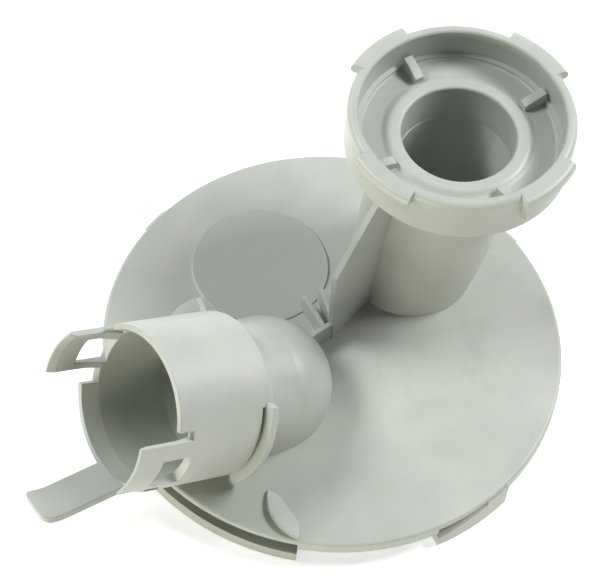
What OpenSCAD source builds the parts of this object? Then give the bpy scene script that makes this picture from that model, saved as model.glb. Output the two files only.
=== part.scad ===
// Outlet cover of a dishwasher sump, moulded in one piece from grey polypropylene.
// A round lid stands on its skirt. Water comes up from below through two ports:
// one feeds the upright tube with the collar that carries the lower spray arm,
// the other feeds the sloping side pipe whose socket takes the riser to the upper arm.
// The frame has its origin on the lid's axis, in the plane of the skirt's lower edge.
// The side pipe runs out along -X.

/* [Lid] */
// Radius of the lid
lid_r = 70; // [60:0.5:85]
// Height of the lid's rim above the plane it stands on
rim_z = 10.3; // [8:0.1:16]
// Rise of the lid's top from the rim to the middle
crown = 1.5; // [0:0.1:4]
// Thickness of the lid
lid_t = 2.2; // [1.6:0.1:3]
// Rounding of the rim's upper edge
rim_round = 1; // [0.3:0.1:1.4]
// Depth of the lip round the rim
lip_h = 4.3; // [2:0.1:6]
// Thickness of the lip
lip_t = 1.8; // [1:0.1:3]
// Outer radius of the skirt under the lid
skirt_r = 66; // [50:0.5:75]
// Thickness of the skirt
skirt_t = 2.4; // [1.6:0.1:4]

/* [Bayonet lugs] */
// Thickness of the rim over the lugs
flange_t = 1.7; // [1.2:0.1:2.2]
// How far a lug stands out past the lid
lug_proud = 0.7; // [0:0.1:3]
// Direction halfway between the two lugs of the first pair
lug_pair_az = 248.6; // [0:0.1:359]
// Angle from the first pair of lugs to the second, which lets the lid go on one way only
lug_pair_turn = 189; // [170:1:190]
// Half the angle between the open ends of a pair
lug_half_gap = 17.3; // [8:0.1:30]
// Angle that the long lug covers
lug_long = 56; // [20:1:70]
// Angle that the short lug covers
lug_short = 21; // [18:1:40]
// Height of the slot over a lug at its open end
slot_open = 4.5; // [2:0.1:5.5]
// Height left of that slot at the closed end of the long lug
slot_closed = 3.4; // [0.5:0.1:5]
// Angle at the closed end of the long lug that has no slot
lug_stop = 3; // [1:0.5:8]
// Angle over which the slot of the short lug closes
wedge_span = 14; // [8:1:16]

/* [Marks on the lid] */
// Radius of the flat pad
pad_r = 21.1; // [8:0.1:26]
// Place of the pad along X
pad_x = -6.8; // [-20:0.1:20]
// Place of the pad along Y
pad_y = 33.3; // [24:0.1:42]
// Height of the pad over the coned lid, at the pad's highest ground
pad_rise = 0.3; // [0.1:0.1:1]
// Length of the leaf-shaped boss near the rim
leaf_l = 18; // [8:0.5:30]
// Width of the leaf-shaped boss
leaf_w = 6.6; // [3:0.1:12]
// Height of the boss at its steep side
leaf_h = 2.1; // [0.5:0.1:3]
// Place of the boss along X
leaf_x = -43.3; // [-48:0.1:-30]
// Place of the boss along Y
leaf_y = -45; // [-50:0.1:-40]

/* [Upright tube] */
// Place of the tube's foot along X
foot_x = 34.7; // [28:0.1:42]
// Place of the tube's foot along Y
foot_y = 12.4; // [0:0.1:24]
// Outer radius of the tube at its foot
foot_r = 19.2; // [16:0.1:24]
// How much wider the tube is at its top
tube_flare = 2.8; // [0:0.1:6]
// Wall of the tube at its foot
tube_wall = 2.2; // [1.6:0.1:5]

/* [Collar for the spray arm] */
// Place of the collar along X
collar_x = 46.1; // [38:0.1:52]
// Place of the collar along Y
collar_y = 14; // [4:0.1:24]
// Height of the collar's rim above the plane the cover stands on
collar_z = 79.3; // [60:0.1:110]
// Outer radius of the collar
collar_r = 33.6; // [30:0.1:40]
// Wall of the collar
collar_wall = 3.3; // [2.6:0.1:5]
// Outer height of the collar
collar_h = 15; // [12.5:0.1:20]
// Rounding of the collar's upper outer edge
rim_fillet = 2; // [0.5:0.1:2]
// Depth of the gutter inside the collar
gutter_d = 11; // [8:0.1:11.5]
// Width of the ledge at the foot of the collar's wall
ledge_w = 1.3; // [0.6:0.1:2]
// Radius of the bearing bore
bore_r = 17; // [12:0.1:19]
// Length of the bearing bore
bore_l = 12.5; // [6:0.1:20]
// Width of the raised ring round the bore
ring_w = 4; // [2:0.1:6]
// Depth of the raised ring below the collar's rim
ring_d = 9.9; // [5:0.1:10.5]

/* [Ears and blocks of the collar] */
// Number of ears, and of blocks in the gutter
ears = 4; // [2:1:6]
// Radius over the ears
ear_r = 36.3; // [34:0.1:45]
// Height of an ear
ear_h = 3.5; // [2.5:0.1:8]
// Angle that an ear covers
ear_span = 34; // [10:1:55]
// Direction of the first ear
ear_az = 15.5; // [0:0.5:359]
// Width of a block in the gutter
block_w = 2.8; // [1:0.1:5]
// Height of a block over the gutter on the side of the wall
block_h = 4.4; // [1:0.1:7]
// Direction of the stop under an ear
stop_az = 272; // [0:1:359]
// Width of the stop under an ear
stop_w = 3.4; // [1:0.1:8]
// Height of the stop under an ear
stop_h = 5.2; // [2:0.1:8]

/* [Web and box ribs] */
// Thickness of the web between the lid and the tube
web_t = 1.9; // [1.2:0.1:5]
// Height of the web's free end above the rim
web_h = 35; // [10:0.5:45]
// How far the web's free end leans out
web_lean = 2.2; // [0:0.1:6]
// How far the web stands beside the lid's middle
web_off = 1; // [-2:0.1:2]
// Angle between the web and the line from the lid's middle to the tube's foot
web_turn = 1.5; // [-4:0.1:4]
// Thickness of the box ribs
box_t = 1.4; // [1:0.1:1.6]
// Height of the box ribs above the rim
box_h = 9; // [4:0.1:14]
// Distance between the box ribs where they start
box_w = 3.6; // [2:0.1:8]
// Length of the box ribs
box_l = 13.4; // [6:0.1:20]
// Angle between the box ribs
box_splay = 11; // [0:1:20]
// Direction of the short rib that ties the web to the elbow
tie_az = 189; // [184:1:196]

/* [Side pipe] */
// Slope of the side pipe above the lid's plane
pipe_tilt = 26.1; // [10:0.1:40]
// Length of the pipe's axis from the elbow to the mouth
pipe_l = 50; // [42:0.5:70]
// Place of the elbow along X
elbow_x = -28.7; // [-34:0.1:-22]
// Place of the pipe along Y
pipe_y = -6.8; // [-16:0.1:4]
// Height of the elbow's centre above the rim
elbow_h = 5.9; // [2:0.1:12]
// Outer radius of the socket
socket_r = 24.1; // [18:0.1:26]
// Wall of the socket
socket_wall = 2.8; // [1.8:0.1:5]
// Depth of the socket's bore
socket_d = 29; // [15:0.5:31]
// Length of the socket outside
socket_l = 34.3; // [33:0.1:40]
// Rounding of the socket's rear edge
socket_round = 2; // [0.5:0.1:3]
// Outer radius of the neck behind the socket
neck_r = 20.3; // [16:0.1:23]
// Wall of the neck
neck_wall = 2.8; // [1.6:0.1:5]
// Depth of the lead-in at the mouth
lead_in_d = 5.5; // [1:0.1:8]
// How much wider the lead-in is at the mouth
lead_in_w = 1.1; // [0.2:0.1:1.4]

/* [Snap arms] */
// How far the arms reach out of the mouth
arm_l = 13; // [7:0.5:20]
// Angle that an arm covers
arm_span = 45; // [32:1:60]
// Direction of the arms' middle, from straight up
arm_az = 86.5; // [70:0.5:100]
// Angle of the relief slot above an arm
relief_span = 7; // [3:1:12]
// Angle of the relief slot below an arm
low_relief_span = 13; // [3:1:14]
// Depth of the relief slots
relief_d = 5; // [2:0.1:12]
// Angle of the window in an arm
window_span = 27; // [8:1:28]
// Direction of the windows' middle, from straight up
window_az = 90.5; // [80:0.5:95]
// Length of the window in an arm
window_l = 10.4; // [4:0.1:14]
// Distance of the windows' middle from the mouth, inwards
window_s = 1.2; // [-2:0.1:2]
// How much thinner an arm's tip is, on its inner side
tip_bevel = 0.7; // [0.1:0.1:0.9]

/* [Tongue] */
// Length of the flat part of the tongue
tongue_l = 17.6; // [8:0.1:30]
// Angle that the tongue covers on the rim
tongue_span = 34; // [15:1:50]
// Direction of the tongue's middle, from straight down
tongue_az = 19; // [0:1:30]
// Thickness of the tongue
tongue_t = 2; // [1:0.1:3]
// Length of the tongue's curved tip
tip_l = 7.2; // [3:0.1:12]
// Angle through which the tip curves up
tip_turn = 34; // [5:1:45]
// Rounding of the tip's corners, seen from above
tip_round = 2.6; // [0.5:0.1:4]

/* [Locking ears of the pipe] */
// Radius over the front locking ear
lock_r = 27; // [25:0.1:32]
// Radius over the back locking ear
lock_back_r = 28.2; // [25:0.1:32]
// Direction of the front ear, from straight up
lock_az = 84; // [70:1:100]
// Direction of the back ear, from straight up to the other side
lock_back_az = 91; // [70:1:100]
// Angle that a locking ear covers at its outer edge
lock_span = 69; // [30:1:100]
// Angle by which a locking ear is wider at its root, on each side
lock_flare = 9; // [0:1:14]
// Thickness of a locking ear
lock_t = 2.2; // [1:0.1:3]
// Distance of the locking ears from the mouth
lock_s = 30.8; // [30:0.1:32]
// Width of the groove in front of a locking ear
groove_w = 1.3; // [0.8:0.1:3]
// Depth of that groove
groove_d = 2.6; // [1:0.1:4]

/* [Hidden] */
$fn = 72;
eps = 0.05;
edge = 0.5;
over = 1;
arc_steps = 5;
grey = [0.78, 0.80, 0.76];

top_z = rim_z + crown;
cone_z = function(r) rim_z + crown * (1 - r / lid_r);

lug_r = lid_r + lug_proud;
slot_top = rim_z - flange_t;

bore_round = 0.9;
bore_top_z = collar_z - ring_d - bore_round;
bore_low_z = bore_top_z - bore_l;
tube_top_z = collar_z - collar_h;
tube_shift = norm([collar_x - foot_x, collar_y - foot_y]);
tube_az = atan2(collar_y - foot_y, collar_x - foot_x);
tube_lean = atan2(tube_shift, tube_top_z - rim_z);
tube_len = norm([tube_shift, tube_top_z - rim_z]);
flare_len = 22;
tube_r = function(h) foot_r + tube_flare * (1 - exp(-h / flare_len));
port_r = foot_r - tube_wall;
passage_r = min(port_r, bore_r) - 0.6;

collar_in_r = collar_r - collar_wall;
ledge_r = collar_in_r - ledge_w;
ledge_d = ring_d - 0.4;

socket_bore_r = socket_r - socket_wall;
neck_bore_r = neck_r - neck_wall;
elbow_bulge = 0.2;
elbow_z = rim_z + elbow_h;

web_az = atan2(foot_y, foot_x) + web_turn;
web_len = norm([foot_x, foot_y]);
tie_l = norm([elbow_x, pipe_y]) - neck_r * 0.9;
box_turn = 101;
collar_reach = norm([collar_x, collar_y]) - collar_r;

// Points on an arc about (cx, cy), from one angle to another
function arc(cx, cy, r, from, to) =
    [for (i = [0:arc_steps])
        let (a = from + (to - from) * i / arc_steps)
        [cx + r * cos(a), cy + r * sin(a)]];

// A sector of a ring with a square section, from angle a0 over the angle span
module sector(r0, r1, a0, span, h) {
    rotate([0, 0, a0])
        rotate_extrude(angle = span)
            translate([r0, 0])
                square([r1 - r0, h]);
}

// Section of the lid with its lip and skirt, in radius and height
module lid_section() {
    round_r = lid_r - rim_round;
    polygon(concat(
        [[0, top_z - lid_t], [0, top_z]],
        arc(round_r, cone_z(round_r) - rim_round, rim_round, 90, 0),
        [
            [lid_r, rim_z - lip_h],
            [lid_r - lip_t, rim_z - lip_h],
            [lid_r - lip_t, rim_z - lid_t],
            [skirt_r, rim_z - lid_t],
            [skirt_r, edge],
            [skirt_r - edge, 0],
            [skirt_r - skirt_t, 0],
            [skirt_r - skirt_t, cone_z(skirt_r) - lid_t]
        ]
    ));
}

// The space above a plane that holds the X axis at the given height and rises along Y
module above_ramp(height, rise_angle) {
    translate([0, 0, height])
        rotate([rise_angle, 0, 0])
            translate([0, -lid_r, 0])
                cube([lid_r * 2, lid_r * 3, lid_r]);
}

// One bayonet lug from angle 0 on, with a slot over it that narrows from its open end
module lug(span, slot_span, closed_h) {
    in_r = skirt_r - skirt_t / 2;
    top = slot_top + flange_t / 4;
    ramp = atan2(slot_open - closed_h, lug_r * sin(slot_span));
    difference() {
        sector(in_r, lug_r, 0, span, top);
        intersection() {
            sector(in_r - over, lug_r + over, -1, slot_span + 1, top + over);
            above_ramp(slot_top - slot_open, ramp);
        }
    }
}

// Two pairs of lugs on opposite sides of the lid, each with a long and a short lug
module lugs() {
    for (turn = [0, lug_pair_turn])
        rotate([0, 0, lug_pair_az + turn]) {
            rotate([0, 0, lug_half_gap])
                lug(lug_short, wedge_span, 0);
            mirror([0, 1, 0])
                rotate([0, 0, lug_half_gap])
                    lug(lug_long, lug_long - lug_stop, slot_closed);
        }
}

// The lip is cut away over the lugs, where the mould has to reach the slots
module lip_cuts() {
    in_r = lid_r - lip_t - lid_t / 2;
    for (turn = [0, lug_pair_turn])
        rotate([0, 0, lug_pair_az + turn])
            translate([0, 0, -over]) {
                sector(in_r, lug_r + over, lug_half_gap, lug_short - lug_stop / 2, slot_top + over);
                sector(in_r, lug_r + over, -lug_half_gap - lug_long + lug_stop / 2,
                    lug_long - lug_stop / 2, slot_top + over);
            }
}

// Keeps what its children have above the middle of the lid's thickness
module above_lid() {
    intersection() {
        union()
            children();
        rotate_extrude()
            polygon([
                [0, top_z - lid_t / 2], [lid_r, rim_z - lid_t / 2],
                [lid_r, collar_z], [0, collar_z]
            ]);
    }
}

// Flat round pad that stands a little over the coned top
module pad() {
    pad_top = cone_z(max(norm([pad_x, pad_y]) - pad_r, 0)) + pad_rise;
    translate([pad_x, pad_y, 0])
        cylinder(r = pad_r, h = pad_top);
}

// Leaf-shaped boss, steep on the side of the pipe's mouth and running out on the other
module leaf() {
    side_r = (leaf_l * leaf_l / 4 + leaf_w * leaf_w / 4) / leaf_w;
    base = rim_z - lid_t / 2;
    fall = atan2(leaf_h, leaf_w);
    difference() {
        translate([leaf_x, leaf_y, base])
            intersection() {
                translate([side_r - leaf_w / 2, 0, 0])
                    cylinder(r = side_r, h = leaf_h + lid_t);
                translate([leaf_w / 2 - side_r, 0, 0])
                    cylinder(r = side_r, h = leaf_h + lid_t);
            }
        translate([leaf_x - leaf_w / 2, leaf_y, cone_z(lid_r) + leaf_h])
            rotate([0, fall, 0])
                translate([-leaf_w, -leaf_l, 0])
                    cube([leaf_l * 2, leaf_l * 2, leaf_h * 3]);
    }
}

module lid() {
    difference() {
        rotate_extrude()
            lid_section();
        lip_cuts();
    }
    lugs();
}

// Places its children with an axis as Z that leans from the tube's foot to the collar's middle
module lean_from_foot(lean) {
    translate([foot_x, foot_y, rim_z])
        rotate([0, 0, tube_az])
            rotate([0, lean, 0])
                children();
}

// The upright tube narrows towards its foot, in a curve, and ends below the lid in a round port
module tube() {
    steps = 8;
    low = -foot_r / 2;
    reach = tube_len + collar_r * sin(tube_lean);
    buried_z = rim_z - lid_t / 3;
    intersection() {
        lean_from_foot(tube_lean)
            rotate_extrude()
                polygon(concat(
                    [[0, low], [foot_r, low]],
                    [for (i = [0:steps]) [tube_r(reach * i / steps), reach * i / steps]],
                    [[0, reach]]
                ));
        translate([0, 0, buried_z])
            cylinder(r = lid_r * 2, h = tube_top_z - buried_z + edge);
    }
    translate([foot_x, foot_y, 0])
        cylinder(r = foot_r - edge, h = rim_z - edge);
}

// Water passage inside the tube, from the round port to the bearing bore
module tube_passage() {
    rise = bore_low_z - rim_z;
    lean = atan2(tube_shift, rise);
    down = port_r * tan(lean);
    up = norm([tube_shift, rise]) + down;
    lean_from_foot(lean)
        translate([0, 0, -down])
            cylinder(r1 = passage_r, r2 = bore_r - 0.3, h = down + up);
    translate([foot_x, foot_y, -over])
        cylinder(r = port_r, h = rim_z + over);
}

// Section of the collar: wall, ledge, gutter floor and raised ring, below the rim at height 0
module collar_section() {
    slope_w = 2.8;
    slope_r = bore_r + ring_w + 2;
    polygon(concat(
        [[0, -collar_h], [collar_r - edge, -collar_h], [collar_r, edge - collar_h]],
        arc(collar_r - rim_fillet, -rim_fillet, rim_fillet, 0, 90),
        [
            [collar_in_r + edge, 0], [collar_in_r, -edge],
            [collar_in_r, -ledge_d], [ledge_r, -ledge_d - 0.2],
            [ledge_r, 0.5 - gutter_d], [ledge_r - 0.5, -gutter_d]
        ],
        [for (i = [0:arc_steps])
            [slope_r - slope_w * i / arc_steps,
                -gutter_d + (gutter_d - ring_d) * (1 - cos(180 * i / arc_steps)) / 2]],
        arc(bore_r + bore_round, -ring_d - bore_round, bore_round, 90, 180),
        [[0, -ring_d - bore_round]]
    ));
}

// One block in the gutter, from the ledge inwards, with a top that falls towards the bore
module gutter_block() {
    in_r = bore_r + ring_w + 1.2;
    out_r = ledge_r + 0.4;
    translate([0, block_w / 2, -gutter_d])
        rotate([90, 0, 0])
            linear_extrude(block_w)
                polygon([[in_r, -edge], [out_r, -edge], [out_r, block_h], [in_r, block_h * 0.5]]);
}

// One ear on the collar's rim, with the same rounding as the rim
module ear() {
    in_r = collar_r - rim_fillet - edge;
    fillet = min(rim_fillet, ear_h - edge * 2);
    rotate([0, 0, -ear_span / 2])
        rotate_extrude(angle = ear_span)
            polygon(concat(
                [[in_r, -ear_h], [in_r, 0]],
                arc(ear_r - fillet, -fillet, fillet, 90, 0),
                [[ear_r, edge - ear_h], [ear_r - edge, -ear_h]]
            ));
}

module collar() {
    translate([collar_x, collar_y, collar_z]) {
        rotate_extrude()
            collar_section();
        for (i = [0:ears - 1]) {
            rotate([0, 0, ear_az + 360 / ears * i])
                ear();
            rotate([0, 0, 360 / ears * i])
                gutter_block();
        }
        rotate([0, 0, stop_az])
            translate([collar_r - edge * 2, -stop_w / 2, -ear_h - stop_h])
                cube([ear_r - collar_r + edge, stop_w, stop_h + edge]);
    }
}

// True bore that the spray arm's bearing sits in
module bearing_bore() {
    translate([collar_x, collar_y, bore_low_z])
        cylinder(r = bore_r, h = bore_l + collar_z);
}

// Upright web from the middle of the lid to the tube, up to the collar's lower edge
module web() {
    rotate([0, 0, web_az])
        translate([0, web_off + web_t / 2, 0])
            rotate([90, 0, 0])
                linear_extrude(web_t)
                    polygon([
                        [0, 0], [-web_lean, rim_z + web_h], [collar_reach + edge, tube_top_z + eps],
                        [web_len, tube_top_z + eps], [web_len, 0]
                    ]);
}

// Two small ribs that run back from the web's foot, and the short rib that ties them
// to the elbow
module box_ribs() {
    high = rim_z + box_h;
    rotate([0, 0, web_az])
        translate([edge, web_off, 0])
            rotate([0, 0, tie_az - web_az]) {
                translate([0, -box_t / 2, 0])
                    cube([tie_l, box_t, high]);
                for (i = [0, 1])
                    translate([box_w * i, 0, 0])
                        rotate([0, 0, box_splay * (i - 1) - box_turn])
                            translate([0, box_t / 2, 0])
                                rotate([90, 0, 0])
                                    linear_extrude(box_t)
                                        polygon([
                                            [0, 0], [0, high], [box_l * 0.7, high],
                                            [box_l * 0.9, high - box_h * 0.06],
                                            [box_l, high - box_h * 0.2], [box_l, 0]
                                        ]);
            }
}

// Places its children with the mouth of the side pipe at the origin and the pipe along +Z,
// with +X pointing up
module on_mouth() {
    translate([elbow_x, pipe_y, elbow_z])
        rotate([0, pipe_tilt, 0])
            translate([-pipe_l, 0, 0])
                rotate([0, 90, 0])
                    rotate([0, 0, 180])
                        children();
}

// Section of the arms' tips, the socket and the neck, down to the elbow
module pipe_section() {
    drop = socket_r - neck_r;
    shoulder = min(socket_round, drop * 0.55);
    fillet = min(socket_round, drop - shoulder) * 0.8;
    polygon(concat(
        [[0, -arm_l], [socket_r - edge, -arm_l], [socket_r, edge - arm_l]],
        arc(socket_r - shoulder, socket_l - shoulder, shoulder, 0, 90),
        arc(neck_r + fillet, socket_l + fillet, fillet, 270, 180),
        [[neck_r, pipe_l], [0, pipe_l]]
    ));
}

// Section of the water passage inside the pipe, with the lead-in at the mouth
module pipe_bore_section() {
    lead_in_r = socket_bore_r + lead_in_w;
    bevel_l = 2.4;
    step_l = 1.2;
    polygon([
        [0, -arm_l - over], [lead_in_r + tip_bevel, -arm_l - over],
        [lead_in_r + tip_bevel, -arm_l], [lead_in_r, bevel_l - arm_l], [lead_in_r, 0],
        [socket_bore_r, lead_in_d], [socket_bore_r, socket_d], [neck_bore_r, socket_d + step_l],
        [neck_bore_r, pipe_l], [0, pipe_l]
    ]);
}

// Cuts the tube beyond the mouth down to two snap arms, with a relief slot on each side
// of an arm and a window in it
module arm_cuts() {
    in_r = socket_bore_r - over;
    out_r = socket_r + over;
    top_edge = arm_az - arm_span / 2;
    low_edge = arm_az + arm_span / 2;
    for (gap = [[-top_edge, 2 * top_edge, relief_span], [low_edge, 360 - 2 * low_edge, low_relief_span]])
        translate([0, 0, -arm_l - over]) {
            sector(in_r, out_r, gap[0] + gap[2] / 2, gap[1] - gap[2], arm_l + over);
            for (start = [gap[0], gap[0] + gap[1] - gap[2]])
                sector(in_r, out_r, start, gap[2], arm_l + over + relief_d);
        }
    for (side = [-1, 1])
        translate([0, 0, window_s - window_l / 2])
            sector(in_r, out_r, side * window_az - window_span / 2, window_span, window_l);
}

// Side view of the tongue: flat, with a tip that curves up
module tongue_side(root) {
    bend_r = tip_l / (tip_turn * PI / 180);
    polygon(concat(
        [[tongue_t, root], [0, root]],
        arc(-bend_r, -tongue_l, bend_r, 0, -tip_turn),
        arc(-bend_r, -tongue_l, bend_r + tongue_t, -tip_turn, 0)
    ));
}

// Outline of the tongue from above, with rounded corners at its tip
module tongue_plan(width, root) {
    reach = tongue_l + tip_l * 0.98;
    side = width / 2 - tip_round;
    polygon(concat(
        [[width / 2, root + over], [-width / 2, root + over]],
        arc(-side, tip_round - reach, tip_round, 180, 270),
        arc(side, tip_round - reach, tip_round, 270, 360)
    ));
}

// Guide tongue at the lower side of the mouth: flat and level, with a turned-up tip
module tongue() {
    mid_r = (socket_r + socket_bore_r) / 2;
    width = 2 * mid_r * sin(tongue_span / 2);
    root = 3;
    rotate([0, 0, 180 - tongue_az])
        translate([mid_r * cos(tongue_span / 2) + 0.6, 0, 0])
            rotate([0, 0, tongue_az])
                rotate([0, -pipe_tilt, 0])
                    rotate([0, 0, -tongue_az])
                        intersection() {
                            rotate([90, 0, 0])
                                translate([0, 0, -width])
                                    linear_extrude(width * 2)
                                        tongue_side(root);
                            translate([-tip_l, 0, 0])
                                rotate([90, 0, 90])
                                    linear_extrude(tip_l + tongue_t * 2)
                                        tongue_plan(width, root);
                        }
}

// One locking ear about the direction az, wider at its root than at its outer edge
module lock_ear(az, ear_out_r) {
    root_r = neck_r - over;
    half = lock_span / 2;
    reach = ear_out_r + over;
    side = function(r, a) [r * cos(a), r * sin(a)];
    side_in = side(root_r, half + lock_flare);
    side_out = side(ear_out_r, half);
    slope = (side_out - side_in) * reach / norm(side_out - side_in);
    rotate([0, 0, az])
        intersection() {
            difference() {
                cylinder(r = ear_out_r, h = lock_t);
                translate([0, 0, -over])
                    cylinder(r = root_r, h = lock_t + 2 * over);
            }
            translate([0, 0, -over])
                linear_extrude(lock_t + 2 * over)
                    polygon([
                        side_in - slope * 0.1, side_in + slope,
                        [reach * 3, reach], [reach * 3, -reach],
                        [side_in[0] + slope[0], -side_in[1] - slope[1]],
                        [side_in[0] - slope[0] * 0.1, -side_in[1] + slope[1] * 0.1]
                    ]);
        }
}

// Locking ears behind the socket
module locks() {
    translate([0, 0, lock_s]) {
        lock_ear(lock_az, lock_r);
        lock_ear(-lock_back_az, lock_back_r);
    }
}

// Groove in front of each locking ear
module lock_grooves() {
    for (az = [lock_az, -lock_back_az])
        translate([0, 0, lock_s - groove_w])
            sector(socket_r - groove_d, socket_r + over, az - lock_span / 2, lock_span, groove_w);
}

// Outside of the side pipe and its elbow, down to the plane the cover stands on
module pipe() {
    intersection() {
        union() {
            on_mouth() {
                difference() {
                    rotate_extrude()
                        pipe_section();
                    lock_grooves();
                    arm_cuts();
                }
                locks();
                tongue();
            }
            translate([elbow_x, pipe_y, elbow_z])
                sphere(r = neck_r + elbow_bulge);
            translate([elbow_x, pipe_y, 0])
                cylinder(r = neck_r, h = elbow_z);
        }
        translate([-lid_r * 3, -lid_r, 0])
            cube([lid_r * 4, lid_r * 2, lid_r * 2]);
    }
}

// Water passage of the side pipe, from its mouth to the port under the lid
module pipe_passage() {
    on_mouth()
        rotate_extrude()
            pipe_bore_section();
    translate([elbow_x, pipe_y, elbow_z])
        sphere(r = neck_bore_r + elbow_bulge);
    translate([elbow_x, pipe_y, -over])
        cylinder(r = neck_bore_r, h = elbow_z + over);
}

module outlet_cover() {
    color(grey)
        difference() {
            union() {
                lid();
                tube();
                collar();
                pipe();
                above_lid() {
                    pad();
                    leaf();
                    web();
                    box_ribs();
                }
            }
            bearing_bore();
            tube_passage();
            pipe_passage();
        }
}

outlet_cover();
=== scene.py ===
# %% [markdown]
# # Outlet cover of a dishwasher sump
# The real cover is one injection moulding in light grey polypropylene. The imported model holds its
# whole shape, so this lesson is about the finish: how moulded polypropylene looks under soft light,
# and how a high-key photograph of it is set up.

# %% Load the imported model
import math

import bpy
from mathutils import Matrix, Vector


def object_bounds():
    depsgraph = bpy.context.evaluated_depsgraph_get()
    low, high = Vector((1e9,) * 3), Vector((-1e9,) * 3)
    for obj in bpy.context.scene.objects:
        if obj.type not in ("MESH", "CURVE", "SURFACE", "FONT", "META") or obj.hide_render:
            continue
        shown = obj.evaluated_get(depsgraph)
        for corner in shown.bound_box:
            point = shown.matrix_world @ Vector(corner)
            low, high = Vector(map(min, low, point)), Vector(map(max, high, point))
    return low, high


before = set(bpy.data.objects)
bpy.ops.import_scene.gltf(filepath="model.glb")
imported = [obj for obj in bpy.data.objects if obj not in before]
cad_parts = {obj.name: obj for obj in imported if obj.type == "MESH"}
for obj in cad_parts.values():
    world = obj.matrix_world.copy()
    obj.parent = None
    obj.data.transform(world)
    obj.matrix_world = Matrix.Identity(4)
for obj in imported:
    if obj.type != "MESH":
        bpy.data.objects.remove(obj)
cad_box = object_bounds()
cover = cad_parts["outlet_cover"]
print("cover", [round(v * 1000, 1) for v in cad_box[1] - cad_box[0]], "mm")

# %% [markdown]
# Colours are picked as the eye sees them on a screen, in sRGB hex. Shaders count in linear light, so
# one function turns the first into the second. A second function adds a node, sets its inputs and
# links it, which keeps a material's text as short as its idea.

# %% Colour and node helpers
MM = 0.001


def linear(code):
    parts = [int(code[i:i + 2], 16) / 255 for i in (1, 3, 5)]
    return tuple(v / 12.92 if v <= 0.04045 else ((v + 0.055) / 1.055) ** 2.4 for v in parts) + (1,)


def add(tree, kind, values=None, links=None, **settings):
    node = tree.nodes.new(kind)
    for name, value in settings.items():
        setattr(node, name, value)
    for key, value in (values or {}).items():
        node.inputs[key].default_value = value
    for key, socket in (links or {}).items():
        tree.links.new(socket, node.inputs[key])
    return node


print("a mid grey in linear light", [round(v, 3) for v in linear("#B1B6AE")])

# %% [markdown]
# The melt flows into the mould in streaks of slightly different grey, which show on the broad lid as
# soft clouds. Use leaves faint darker scuffs. Each is a noise of its own size, worked out from
# millimetres on the part, and all of them stand on Object coordinates.

# %% Sizes and shades of the melt
CLOUD_MM = 42
STREAK_MM = 11
STREAK_SHARE = 0.35
DEEPEST, PALEST = 0.45, 0.95
DEEP_GREY = "#AAB0A8"
PALE_GREY = "#BABEB7"
SCUFF_MM = 26
SCUFF_START, SCUFF_FULL = 0.60, 0.75
SCUFF_STRENGTH = 0.35
SCUFF_GREY = "#9A9F98"


def per_mm(size_mm):
    return 1 / (size_mm * MM)


print("clouds repeat", round(per_mm(CLOUD_MM), 1), "times to a metre")

# %% [markdown]
# The clouds and a share of the streaks are added up and stretched over the two greys. The scuffs are
# laid over that, only where their own noise rises above its usual level, so they stay in patches.

# %% Shade of the melt
def melt_shade(tree, place):
    clouds = add(tree, "ShaderNodeTexNoise", {"Scale": per_mm(CLOUD_MM), "Detail": 3, "Roughness": 0.5},
                 {"Vector": place})
    streaks = add(tree, "ShaderNodeTexNoise",
                  {"Scale": per_mm(STREAK_MM), "Detail": 2, "Distortion": 0.6}, {"Vector": place})
    mixed = add(tree, "ShaderNodeMath", {1: STREAK_SHARE},
                {0: streaks.outputs["Fac"], 2: clouds.outputs["Fac"]}, operation="MULTIPLY_ADD")
    tone = add(tree, "ShaderNodeMapRange", {"From Min": DEEPEST, "From Max": PALEST},
               {"Value": mixed.outputs[0]})
    body = add(tree, "ShaderNodeMix", {"A": linear(DEEP_GREY), "B": linear(PALE_GREY)},
               {"Factor": tone.outputs[0]}, data_type="RGBA")
    scuffs = add(tree, "ShaderNodeTexNoise", {"Scale": per_mm(SCUFF_MM), "Detail": 6, "Roughness": 0.65},
                 {"Vector": place})
    scuffed = add(tree, "ShaderNodeMapRange",
                  {"From Min": SCUFF_START, "From Max": SCUFF_FULL, "To Max": SCUFF_STRENGTH},
                  {"Value": scuffs.outputs["Fac"]})
    shade = add(tree, "ShaderNodeMix", {"B": linear(SCUFF_GREY)},
                {"Factor": scuffed.outputs[0], "A": body.outputs["Result"]}, data_type="RGBA")
    return shade.outputs["Result"], tone.outputs[0]


print("melt shade runs from", DEEP_GREY, "to", PALE_GREY)

# %% [markdown]
# The round pad on the lid is drawn smoother and a little darker than the grained lid round it. It could
# be a second material on its faces, but the model's mesh is left as it is, so a mask finds the pad:
# all that is nearer to the pad's axis than its radius and lies between two heights.

# %% The polished pad
PAD_X_MM, PAD_Y_MM, PAD_Z_MM = -6.8, 33.3, 11.8
PAD_RADIUS_MM = 21.1
PAD_EDGE_MM = 0.3
PAD_BELOW_MM = 0.5
PAD_ABOVE_MM = 1
PAD_GREY = "#AFB6AF"
PAD_ROUGHNESS = 0.3


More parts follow.
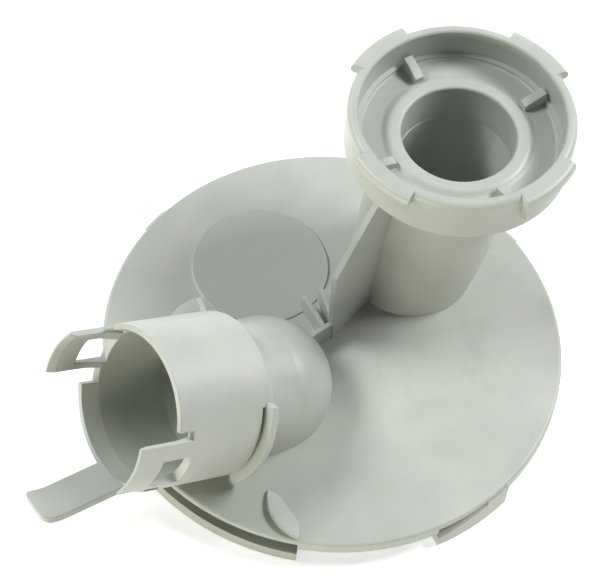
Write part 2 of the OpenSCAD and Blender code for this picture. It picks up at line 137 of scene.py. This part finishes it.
def pad_mask(tree, place):
    flat = add(tree, "ShaderNodeVectorMath", {1: (1, 1, 0)}, {0: place}, operation="MULTIPLY")
    reach = add(tree, "ShaderNodeVectorMath", {1: (PAD_X_MM * MM, PAD_Y_MM * MM, 0)},
                {0: flat.outputs["Vector"]}, operation="DISTANCE")
    inside = add(tree, "ShaderNodeMath", {1: (PAD_RADIUS_MM - PAD_EDGE_MM) * MM},
                 {0: reach.outputs["Value"]}, operation="LESS_THAN")
    height = add(tree, "ShaderNodeSeparateXYZ", None, {"Vector": place})
    low = add(tree, "ShaderNodeMath", {1: (PAD_Z_MM + PAD_ABOVE_MM) * MM}, {0: height.outputs["Z"]},
              operation="LESS_THAN")
    high = add(tree, "ShaderNodeMath", {1: (PAD_Z_MM - PAD_BELOW_MM) * MM}, {0: height.outputs["Z"]},
               operation="GREATER_THAN")
    band = add(tree, "ShaderNodeMath", None, {0: low.outputs[0], 1: high.outputs[0]}, operation="MULTIPLY")
    return add(tree, "ShaderNodeMath", None, {0: inside.outputs[0], 1: band.outputs[0]},
               operation="MULTIPLY").outputs[0]


print("pad radius", PAD_RADIUS_MM, "mm")

# %% [markdown]
# A moulded part has no knife edges: every corner is rounded by the mould. The Bevel node turns the
# normals over such a radius, so each edge catches a thin, soft light. The mould's spark-eroded skin
# leaves a grain of about a tenth of a millimetre. It is drawn coarser here, so that it shows at all,
# and its bump is laid over the rounded corners.

# %% Rounded corners and grain
EDGE_RADIUS_MM = 0.45
GRAIN_MM = 0.35
GRAIN_DEPTH_MM = 0.05
GRAIN_STRENGTH = 0.15


def moulded_relief(tree, place):
    rounded = add(tree, "ShaderNodeBevel", {"Radius": EDGE_RADIUS_MM * MM}, samples=6)
    grain = add(tree, "ShaderNodeTexNoise", {"Scale": per_mm(GRAIN_MM), "Detail": 2}, {"Vector": place})
    relief = add(tree, "ShaderNodeBump", {"Strength": GRAIN_STRENGTH, "Distance": GRAIN_DEPTH_MM * MM},
                 {"Height": grain.outputs["Fac"], "Normal": rounded.outputs["Normal"]})
    return relief.outputs[0]


print("corners rounded over", EDGE_RADIUS_MM, "mm")

# %% [markdown]
# Polypropylene is a soft, slightly waxy plastic, so highlights on it are wide and pale and a little
# light wanders inside it. The roughness follows the same clouds as the shade, and the pad is
# smoother. What is the same all over the part is set on the shader's own sockets.

# %% The material
POLYPROPYLENE_IOR = 1.49
GRAINED_ROUGHNESS = (0.38, 0.50)
WAX_WEIGHT = 0.12
WAX_RADIUS = (1, 1, 0.9)
WAX_DEPTH_MM = 1.2


def moulded_polypropylene():
    material = bpy.data.materials.new("moulded_polypropylene")
    material.use_nodes = True
    tree = material.node_tree
    shader = tree.nodes["Principled BSDF"]
    place = add(tree, "ShaderNodeTexCoord").outputs["Object"]
    shade, tone = melt_shade(tree, place)
    pad = pad_mask(tree, place)
    colour = add(tree, "ShaderNodeMix", {"B": linear(PAD_GREY)}, {"Factor": pad, "A": shade},
                 data_type="RGBA")
    grained = add(tree, "ShaderNodeMapRange",
                  {"To Min": GRAINED_ROUGHNESS[0], "To Max": GRAINED_ROUGHNESS[1]}, {"Value": tone})
    gloss = add(tree, "ShaderNodeMix", {"B": PAD_ROUGHNESS}, {"Factor": pad, "A": grained.outputs[0]})
    tree.links.new(colour.outputs["Result"], shader.inputs["Base Color"])
    tree.links.new(gloss.outputs["Result"], shader.inputs["Roughness"])
    tree.links.new(moulded_relief(tree, place), shader.inputs["Normal"])
    shader.inputs["IOR"].default_value = POLYPROPYLENE_IOR
    shader.inputs["Subsurface Weight"].default_value = WAX_WEIGHT
    shader.inputs["Subsurface Radius"].default_value = WAX_RADIUS
    shader.inputs["Subsurface Scale"].default_value = WAX_DEPTH_MM * MM
    return material


cover.data.materials.clear()
cover.data.materials.append(moulded_polypropylene())
print("material", cover.data.materials[0].name)

# %% [markdown]
# The photographer looked down at the cover from about 56 degrees, from far away, so its circles
# become even ellipses. The camera stood on the -Y side, and the part lay turned before it, which
# is the same as a camera that goes round the part the other way. It was also held a little askew.

# %% The view's own axes
LOOK_DOWN = math.radians(56.38)
ASKEW = math.radians(6.1)
PART_TURN = math.radians(-35)


def turned(x, y, z):
    return Matrix.Rotation(PART_TURN, 3, "Z") @ Vector((x, y, z))


side = turned(1, 0, 0)
back = turned(0, -math.cos(LOOK_DOWN), math.sin(LOOK_DOWN))
right = side * math.cos(ASKEW) + back.cross(side) * math.sin(ASKEW)
up = back.cross(right)
print("the camera looks along", [round(-v, 3) for v in back])

# %% [markdown]
# The focal length was found in pixels of the photograph, and the sensor's width turns it into
# millimetres. The camera's spot is measured from the lid's axis, at the height of its rim: a little
# aside and above it in the picture, and far back.

# %% Camera
PICTURE_WIDTH_PX = 600
FOCAL_PX = 2301.93
SENSOR_MM = 36
DISTANCE_MM = 700
RIM_Z_MM = 10.3
ASIDE_MM = -10.092
ABOVE_MM = 14.542

spot = (right * ASIDE_MM + up * ABOVE_MM + back * DISTANCE_MM + Vector((0, 0, RIM_Z_MM))) * MM
lens = bpy.data.cameras.new("camera")
lens.sensor_width = SENSOR_MM
lens.lens = FOCAL_PX / PICTURE_WIDTH_PX * SENSOR_MM
camera = bpy.data.objects.new("camera", lens)
bpy.context.scene.collection.objects.link(camera)
camera.matrix_world = Matrix.Translation(spot) @ Matrix((right, up, back)).transposed().to_4x4()
bpy.context.scene.camera = camera
print("camera lens", round(lens.lens, 1), "mm, from", [round(v * 1000) for v in spot])

# %% [markdown]
# The photograph stands on pure white. The floor is a pale sheet with a little light of its own, and the
# world behind it is white, but both show that brightness only to the camera, to reflections and to
# rays that pass through. Diffuse rays find almost none of it, so the white ground doesn't flood the
# part with light, and the floor still takes the part's shadow.

# %% Who sees the white
def seen_directly(tree):
    path = add(tree, "ShaderNodeLightPath")
    both = add(tree, "ShaderNodeMath", None,
               {0: path.outputs["Is Camera Ray"], 1: path.outputs["Is Glossy Ray"]}, operation="MAXIMUM")
    return add(tree, "ShaderNodeMath", None,
               {0: both.outputs[0], 1: path.outputs["Is Transmission Ray"]}, operation="MAXIMUM").outputs[0]


WHITE = linear("#FFFFFF")
print("white in linear light", WHITE)

# %% [markdown]
# The floor lies a tenth of a millimetre under the part, because two faces in one plane would flicker.

# %% Floor
FLOOR_SIZE_M = 4
FLOOR_GAP_MM = 0.1
FLOOR_WHITE = "#F6F6F4"
FLOOR_ROUGHNESS = 0.9
FLOOR_GLOW = 0.6


def tent_floor():
    material = bpy.data.materials.new("tent_floor")
    material.use_nodes = True
    tree = material.node_tree
    shader = tree.nodes["Principled BSDF"]
    shader.inputs["Base Color"].default_value = linear(FLOOR_WHITE)
    shader.inputs["Roughness"].default_value = FLOOR_ROUGHNESS
    shader.inputs["Emission Color"].default_value = WHITE
    strength = add(tree, "ShaderNodeMath", {1: FLOOR_GLOW}, {0: seen_directly(tree)}, operation="MULTIPLY")
    tree.links.new(strength.outputs[0], shader.inputs["Emission Strength"])
    return material


half = FLOOR_SIZE_M / 2
sheet = bpy.data.meshes.new("floor")
corners = [(-half, -half, 0), (half, -half, 0), (half, half, 0), (-half, half, 0)]
sheet.from_pydata(corners, [], [(0, 1, 2, 3)])
floor = bpy.data.objects.new("floor", sheet)
floor.location.z = cad_box[0].z - FLOOR_GAP_MM * MM
sheet.materials.append(tent_floor())
bpy.context.scene.collection.objects.link(floor)
print("floor at", round(floor.location.z * 1000, 2), "mm")

# %% [markdown]
# The world is the tent round the part. Directly seen it is white, and to diffuse rays it is a faint
# fill, just enough that the recesses aren't black.

# %% World
TENT_FILL = 0.05

world = bpy.data.worlds.new("tent")
bpy.context.scene.world = world
world.use_nodes = True
sky = world.node_tree.nodes["Background"]
sky.inputs["Color"].default_value = WHITE
level = add(world.node_tree, "ShaderNodeMapRange", {"To Min": TENT_FILL, "To Max": 1},
            {"Value": seen_directly(world.node_tree)})
world.node_tree.links.new(level.outputs[0], sky.inputs["Strength"])
print("tent fill", TENT_FILL)

# %% [markdown]
# Four lamps model the form. Two broad ones stand high at the right and left, so the lid and the tops
# of both pipes are the brightest faces and what looks at the camera is darker. A weak one behind at
# the left opens the shadows there. A wide, low and slightly warm strip in front lights the rim, the
# collar's outside and the lugs. It stands so low that the collar keeps its own inner wall dark.

# %% Lamps
LAMP_DISTANCE_M = 1.25


def softbox(name, azimuth, elevation, width, height, watts, tint="#FFFFFF"):
    """A lamp that looks at the part. Azimuth 0 is straight behind it, 90 the picture's right."""
    data = bpy.data.lights.new(name, "AREA")
    data.shape = "RECTANGLE"
    data.size = width
    data.size_y = height
    data.energy = watts
    data.color = linear(tint)[:3]
    lamp = bpy.data.objects.new(name, data)
    away = Vector((-back.x, -back.y, 0)).normalized()
    across = away.cross(Vector((0, 0, 1)))
    round_it, over_it = math.radians(azimuth), math.radians(elevation)
    level = away * math.cos(round_it) + across * math.sin(round_it)
    lamp.location = (level * math.cos(over_it) + Vector((0, 0, math.sin(over_it)))) * LAMP_DISTANCE_M
    lamp.rotation_euler = lamp.location.to_track_quat("Z", "Y").to_euler()
    bpy.context.scene.collection.objects.link(lamp)
    return lamp


lamps = [
    softbox("key_right", azimuth=65, elevation=46, width=0.5, height=0.35, watts=14.9),
    softbox("key_left", azimuth=278, elevation=48, width=0.45, height=0.3, watts=9.7),
    softbox("fill_left", azimuth=315, elevation=27, width=0.2, height=0.2, watts=2.2),
    softbox("low_front", azimuth=212, elevation=3.5, width=1, height=0.15, watts=10.2, tint="#FFFBE8"),
]
print("lamps", [lamp.name for lamp in lamps])

# %% [markdown]
# The Standard view shows the colours as they are mixed.

# %% View and size
bpy.context.scene.view_settings.view_transform = "Standard"
